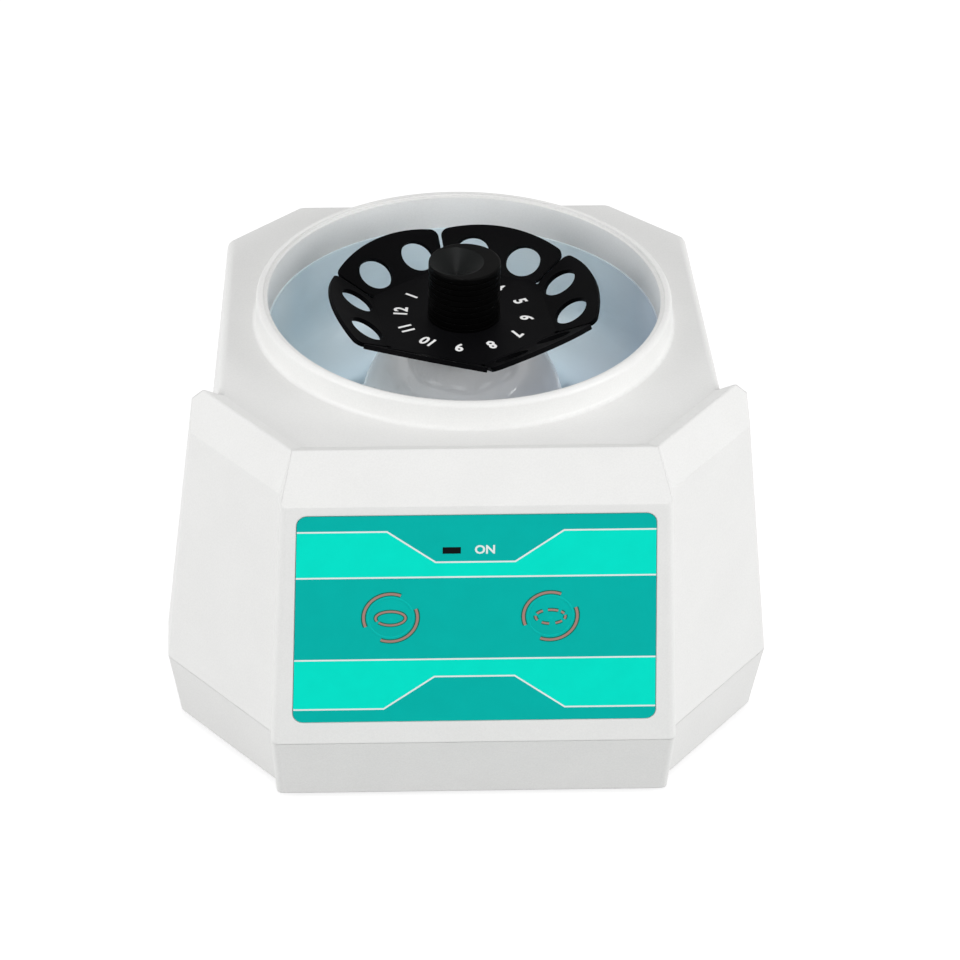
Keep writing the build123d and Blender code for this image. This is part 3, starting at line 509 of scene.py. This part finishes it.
def flat_piece(name, shapes, place, lift, body, material):
    """One thin piece made of flat polygons, laid out by the function place."""
    bm = bmesh.new()
    for shape in shapes:
        bm.faces.new([bm.verts.new(place(u, v, lift)) for u, v in shape])
    bmesh.ops.triangulate(bm, faces=bm.faces[:])
    bmesh.ops.recalc_face_normals(bm, faces=bm.faces[:])
    piece = piece_of(bm, name, material)
    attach(piece, body)


def band(path, width):
    """Quads that follow an open path, with mitred corners."""
    left, right = [], []
    for i, (x, y) in enumerate(path):
        before = Vector(path[i]) - Vector(path[max(i - 1, 0)])
        after = Vector(path[min(i + 1, len(path) - 1)]) - Vector(path[i])
        before = before.normalized() if before.length else after.normalized()
        after = after.normalized() if after.length else before
        along = (before + after).normalized()
        side = Vector((-along.y, along.x)) * (width / 2 / max(along.dot(before), MITRE_LIMIT))
        left.append((x + side.x, y + side.y))
        right.append((x - side.x, y - side.y))
    return [[left[i], left[i + 1], right[i + 1], right[i]] for i in range(len(path) - 1)]


def strokes(name, paths, width, place, lift, body, material):
    """Lines of one width along open paths, as one piece."""
    quads = [quad for path in paths for quad in band(path, width)]
    flat_piece(name, quads, place, lift, body, material)


def across(v):
    """The two ends of a line across the film."""
    half = FILM_TOP_HALF + FILM_WIDENS * -v / FILM_HEIGHT
    return [(-half, v), (half, v)]


def print_panel():
    bright = printed("ink_bright_teal", TEAL_BRIGHT)
    white = printed("ink_white", PRINT_WHITE)
    salmon = printed("ink_salmon", SALMON)
    green = printed("ink_dark_green", SALMON_EDGE)
    left, right = across(UPPER_V)
    low_left, low_right = across(LOWER_V)
    upper = [left, *UPPER_LINE, right]
    lower = [low_left, *LOWER_LINE, low_right]
    bands = [upper + across(MID_TOP_V)[::-1], across(MID_LOW_V) + lower[::-1]]
    flat_piece("print_bands", bands, panel_point, BAND_LIFT, "housing", bright)
    lines = [upper, across(MID_TOP_V), across(MID_LOW_V), lower]
    strokes("print_lines", lines, LINE_WIDTH, panel_point, LINE_LIFT, "housing", white)
    arcs = [oval_arc(x, y, KEY_ARC_R, KEY_ARC_R, a, b, steps=40) for x, y in KEYS for a, b in KEY_ARCS]
    strokes("print_arc_edges", arcs, ARC_EDGE_WIDTH, panel_point, ARC_EDGE_LIFT, "housing", green)
    strokes("print_arcs", arcs, ARC_WIDTH, panel_point, ARC_LIFT, "housing", salmon)


def key_rims():
    """The film's raised edge round each key, over the gap that the key moves in."""
    teal = printed("film_rim", tuple(c * 1.06 for c in TEAL_DARK))
    for name, (x, y) in zip(("start", "pulse"), KEYS):
        bm = bmesh.new()
        rows = []
        for i in range(RIM_STEPS):
            a = 2 * math.pi * i / RIM_STEPS
            rows.append([bm.verts.new(panel_point(x + r * math.cos(a), y + r * math.sin(a), lift))
                         for r, lift in RIM_PROFILE])
        for i, here in enumerate(rows):
            there = rows[(i + 1) % RIM_STEPS]
            for k in range(len(RIM_PROFILE) - 1):
                bm.faces.new([here[k], here[k + 1], there[k + 1], there[k]])
        bmesh.ops.recalc_face_normals(bm, faces=bm.faces[:])
        for face in bm.faces:
            face.smooth = True
        piece = piece_of(bm, f"{name}_key_rim", teal)
        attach(piece, "housing")


def print_keys():
    """A ring on the first key and a broken ring on the second."""
    salmon = printed("key_salmon", SALMON)
    green = printed("key_dark_green", SALMON_EDGE)
    for name, body, centre, parts, steps in (("start", "start_key", KEYS[0], WHOLE_RING, 60),
                                             ("pulse", "pulse_key", KEYS[1], BROKEN_RING, 8)):
        paths = [oval_arc(*centre, ICON_RX, ICON_RY, a, b, steps) for a, b in parts]

        def crowned(u, v, lift, centre=centre):
            away = math.hypot(u - centre[0], v - centre[1])
            return panel_point(u, v, lift + KEY_CROWN * (1 - (away / KEY_R) ** 2))

        strokes(f"{name}_icon_edge", paths, ICON_EDGE_WIDTH, crowned, ICON_EDGE_LIFT, body, green)
        strokes(f"{name}_icon", paths, ICON_WIDTH, crowned, ICON_LIFT, body, salmon)


def lettering(name, text, size, place, spot, lift, body, material):
    """Text as a mesh on a surface; spot is its u, v, turn in degrees and width as a share."""
    curve = bpy.data.curves.new(name, "FONT")
    curve.body = text
    curve.size = size
    curve.align_x = "CENTER"
    curve.align_y = "CENTER"
    curve.resolution_u = 3
    curve.offset = size * BOLDER
    holder = in_scene(name + "_curve", curve)
    bpy.context.view_layer.update()
    mesh = bpy.data.meshes.new_from_object(holder)
    bpy.data.objects.remove(holder)
    mesh.name = name
    middle_u, middle_v, degrees, share = spot
    for vert in mesh.vertices:
        u, v = turned(vert.co.x * share, vert.co.y, degrees)
        vert.co = place(middle_u + u, middle_v + v, lift)
    mesh.materials.clear()
    mesh.materials.append(material)
    piece = in_scene(name, mesh)
    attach(piece, body)


def print_numbers():
    """The numbers 1 to 12 on the rotor, each by its hole, tops outwards."""
    grey = printed("ink_numbers", NUMBER_GREY, 0.5)
    for n in range(1, 13):
        degrees = NUMBER_5_AT + NUMBER_TURN * (n - 5)
        a = math.radians(degrees)
        spot = (NUMBER_RING_R * math.sin(a), NUMBER_RING_R * math.cos(a), -degrees, NUMBER_NARROW)
        lettering(f"number_{n}", str(n), NUMBER_SIZE, rotor_point, spot, TEXT_LIFT, "rotor", grey)


def print_power_word():
    white = printed("ink_label", PRINT_WHITE)
    lettering("label_on", "ON", WORD_SIZE, panel_point, WORD_SPOT, TEXT_LIFT, "housing", white)


# Studio, with lamps and floor in metres and the camera's place in mm

CAMERA_AT = Vector((-78.97, -1500.0 + AXIS_Y, 1024.59))
CAMERA_YAW, CAMERA_PITCH, CAMERA_ROLL = (math.radians(a) for a in (3.25, 32.901, 1.132))
FOCAL = 5520.9         # focal length in pixels of the photo
PHOTO_WIDTH = 960
SENSOR = 36
WORLD_LIGHT = 0.66     # strength of the world as a light; it is seen at 1, which is white
FLOOR_COLOUR = (0.4, 0.4, 0.4, 1)
FLOOR_GLOW = 0.75      # how much the floor glows where it is seen
FLOOR_HALF = 6         # half of the floor's side


def camera():
    yaw, pitch, roll = CAMERA_YAW, CAMERA_PITCH, CAMERA_ROLL
    forward = Vector((math.sin(yaw) * math.cos(pitch), math.cos(yaw) * math.cos(pitch), -math.sin(pitch)))
    right = Vector((math.cos(yaw), -math.sin(yaw), 0))
    up = right.cross(forward)
    right, up = (right * math.cos(roll) + up * math.sin(roll), up * math.cos(roll) - right * math.sin(roll))
    data = bpy.data.cameras.new("camera")
    data.sensor_width = SENSOR
    data.lens = FOCAL * SENSOR / PHOTO_WIDTH
    data.clip_end = 50
    cam = in_scene("camera", data)
    turn = Matrix((right, up, -forward)).transposed().to_4x4()
    cam.matrix_world = Matrix.Translation(CAMERA_AT * MM) @ turn
    bpy.context.scene.camera = cam


def soft_box(name, azimuth, elevation, distance, size, watts, aim=(0, 0, 0.07), spread=180):
    """A square area light; azimuth 0 is in front of the instrument, positive to its right."""
    a, e = math.radians(azimuth), math.radians(elevation)
    data = bpy.data.lights.new(name, "AREA")
    data.shape = "RECTANGLE"
    data.size, data.size_y = size, size
    data.energy = watts
    data.spread = math.radians(spread)
    lamp = in_scene(name, data)
    offset = Vector((math.sin(a) * math.cos(e), -math.cos(a) * math.cos(e), math.sin(e))) * distance
    lamp.location = Vector(aim) + offset
    lamp.rotation_euler = offset.to_track_quat("Z", "Y").to_euler()


def seen_ray(tree):
    """1 for rays that show the background: straight, mirrored or through glass."""
    path = tree.nodes.new("ShaderNodeLightPath")
    total = path.outputs["Is Camera Ray"]
    for name in ("Is Glossy Ray", "Is Transmission Ray"):
        add = tree.nodes.new("ShaderNodeMath")
        add.operation = "MAXIMUM"
        tree.links.new(total, add.inputs[0])
        tree.links.new(path.outputs[name], add.inputs[1])
        total = add.outputs[0]
    return total


def by_ray(tree, other, seen):
    """One value for the rays that show the background and another for the rest."""
    n = tree.nodes.new("ShaderNodeMapRange")
    n.inputs["To Min"].default_value = other
    n.inputs["To Max"].default_value = seen
    tree.links.new(seen_ray(tree), n.inputs["Value"])
    return n.outputs["Result"]


def studio():
    world = bpy.data.worlds.new("studio")
    bpy.context.scene.world = world
    world.use_nodes = True
    tree = world.node_tree
    back = tree.nodes["Background"]
    back.inputs["Color"].default_value = (1, 1, 1, 1)
    tree.links.new(by_ray(tree, WORLD_LIGHT, 1.0), back.inputs["Strength"])
    soft_box("left_box", azimuth=-62, elevation=17, distance=1.7, size=0.9, watts=13)
    soft_box("right_box", azimuth=62, elevation=17, distance=1.7, size=0.9, watts=14.5)
    soft_box("chamber_box", azimuth=0, elevation=88, distance=0.5, size=0.08, watts=0.019,
             aim=(0, AXIS_Y * MM, 0.09), spread=8)


def floor():
    """A floor that looks white and keeps the instrument's shadow."""
    mat = bpy.data.materials.new("floor_white")
    mat.use_nodes = True
    tree = mat.node_tree
    bsdf = tree.nodes["Principled BSDF"]
    bsdf.inputs["Base Color"].default_value = FLOOR_COLOUR
    bsdf.inputs["Roughness"].default_value = 0.9
    bsdf.inputs["Specular IOR Level"].default_value = 0.0
    bsdf.inputs["Emission Color"].default_value = (1, 1, 1, 1)
    tree.links.new(by_ray(tree, 0.0, FLOOR_GLOW), bsdf.inputs["Emission Strength"])
    bm = bmesh.new()
    bmesh.ops.create_grid(bm, x_segments=2, y_segments=2, size=FLOOR_HALF)
    piece = piece_of(bm, "floor", mat)
    piece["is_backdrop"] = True


dress_nodes()
print_panel()
key_rims()
print_keys()
rotor_dish()
print_numbers()
print_power_word()
camera()
studio()
floor()
bpy.context.scene.view_settings.view_transform = "Standard"

sizes = {"start": bounds_at_start, "end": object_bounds()}


def plain(value):
    if isinstance(value, dict):
        return {k: plain(v) for k, v in value.items()}
    if isinstance(value, (int, float, str)) or value is None:
        return value
    return [plain(v) for v in value]


plain(sizes)
